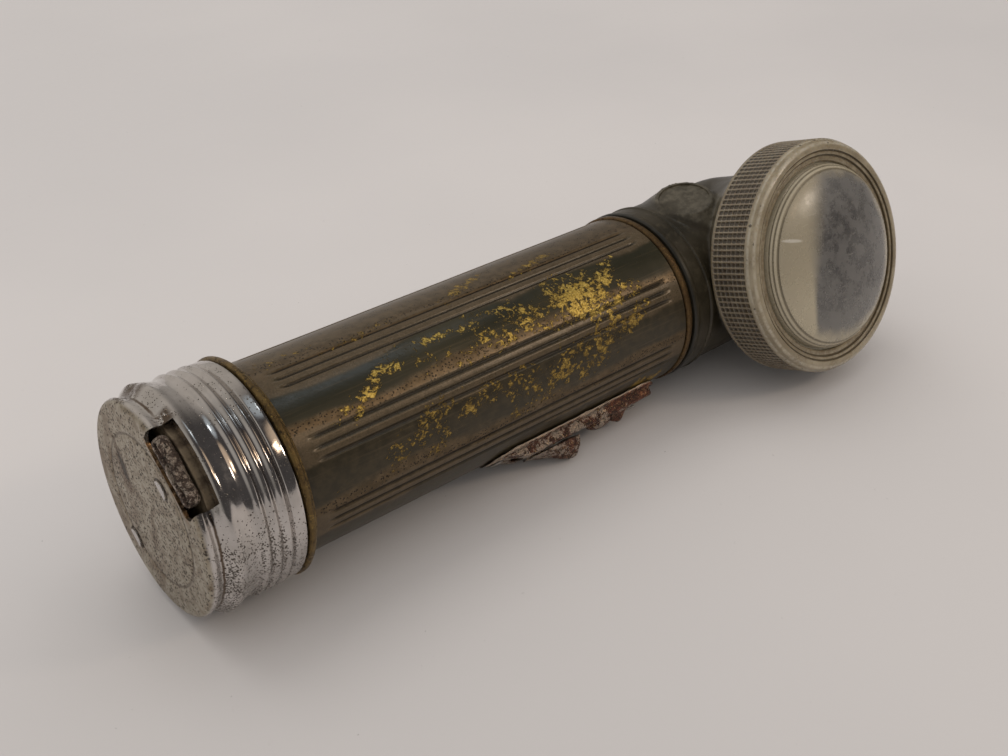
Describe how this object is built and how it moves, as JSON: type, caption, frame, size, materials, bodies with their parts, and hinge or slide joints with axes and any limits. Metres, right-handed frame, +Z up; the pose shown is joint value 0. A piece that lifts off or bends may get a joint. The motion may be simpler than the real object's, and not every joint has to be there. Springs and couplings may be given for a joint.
{
  "type": "right-angle flashlight",
  "caption": "Right-angle hand torch with fluted painted barrel, screw tail cap with pull-out hanger, slide switch with flash button, elbow head and knurled lens ring",
  "frame": {"origin": "bottom centre of the bounding box, on the table that the torch lies on", "axes": "X runs along the barrel, tail cap at -X and elbow head at +X; the lens faces -Y and about 20 degrees up; Z is up"},
  "size_m": [0.178, 0.0598, 0.0534],
  "materials": {
    "plated_cap": "pitted nickel plate, worn, with dark spots",
    "rusty_steel": "rusted sheet steel, brown and orange with grey patches",
    "steel": "dull plated steel",
    "brass": "brown, tarnished brass",
    "bronze": "spring bronze strip",
    "worn_paint": "dark olive paint worn through to yellow brass",
    "fibre": "vulcanised fibre",
    "cell_jacket": "plain cell jacket without print",
    "moulding": "dark olive-brown moulding, satin, scuffed",
    "reflector_silver": "silvered reflector",
    "bulb_glass": "clear bulb glass",
    "black_glass": "black glass insulator",
    "rubber": "old gasket rubber",
    "lens": "clear domed lens, slightly yellowed and scratched",
    "ring_plastic": "yellowed translucent knurled ring"
  },
  "bodies": {
    "torch": {"barrel": "worn_paint", "tail_ferrule": "brass", "head_ferrule": "brass", "liner": "fibre", "rear_cell": "cell_jacket", "rear_cell_cap": "steel", "front_cell": "cell_jacket", "front_cell_cap": "steel", "elbow_housing": "moulding", "reflector": "reflector_silver", "bulb_socket": "bronze", "bulb_base": "brass", "bulb_insulator": "black_glass", "bulb_tip": "steel", "bulb_glass": "bulb_glass", "filament_mount": "steel", "contact_disc": "fibre", "contact_rivet": "brass", "centre_contact": "bronze", "ground_strip": "brass", "switch_housing": "rusty_steel", "switch_blade": "brass", "switch_insulator": "fibre", "switch_rivet_tail": "steel", "switch_rivet_head": "steel"},
    "cap_spring": {"tail_spring": "steel"},
    "cap": {"tail_cap": "plated_cap", "guide_plate": "steel"},
    "hanger": {"hanger_tongue": "rusty_steel"},
    "lens_pack": {"lens": "lens", "lens_gasket": "rubber"},
    "ring": {"lens_ring": "ring_plastic"},
    "slider": {"switch_slider": "rusty_steel"},
    "button": {"flash_button": "rusty_steel"}
  },
  "joints": [
    {"name": "cap_advance", "type": "slide", "parent": "torch", "child": "cap_spring", "axis": [-0.9998, 0, 0.02], "range_m": [0, 0.008]},
    {"name": "cap_turn", "type": "hinge", "parent": "cap_spring", "child": "cap", "pos_m": [-0.08842, 0.00789, 0.02208], "axis": [-0.9998, 0, 0.02], "range_deg": [0, 1440]},
    {"name": "hanger_pull", "type": "slide", "parent": "cap", "child": "hanger", "axis": [0.0156, -0.6285, 0.7776], "range_m": [0, 0.012]},
    {"name": "lens_advance", "type": "slide", "parent": "torch", "child": "lens_pack", "axis": [0.0069, -0.9393, 0.3429], "range_m": [0, 0.006]},
    {"name": "ring_turn", "type": "hinge", "parent": "lens_pack", "child": "ring", "pos_m": [0.06285, 0.00789, 0.01905], "axis": [0.0069, -0.9393, 0.3429], "range_deg": [0, 1080]},
    {"name": "switch_slide", "type": "slide", "parent": "torch", "child": "slider", "axis": [0.9998, 0, -0.02], "range_m": [0, 0.0045]},
    {"name": "button_press", "type": "slide", "parent": "torch", "child": "button", "axis": [0.0149, 0.6699, 0.7423], "range_m": [0, 0.0009], "stiffness_N_per_m": 1500, "springref_m": -0.0006}
  ],
  "couplings": [
    {"joint": "cap_turn", "follows": "cap_advance", "rad_per_m": 3141.6},
    {"joint": "ring_turn", "follows": "lens_advance", "rad_per_m": 3141.6}
  ]
}
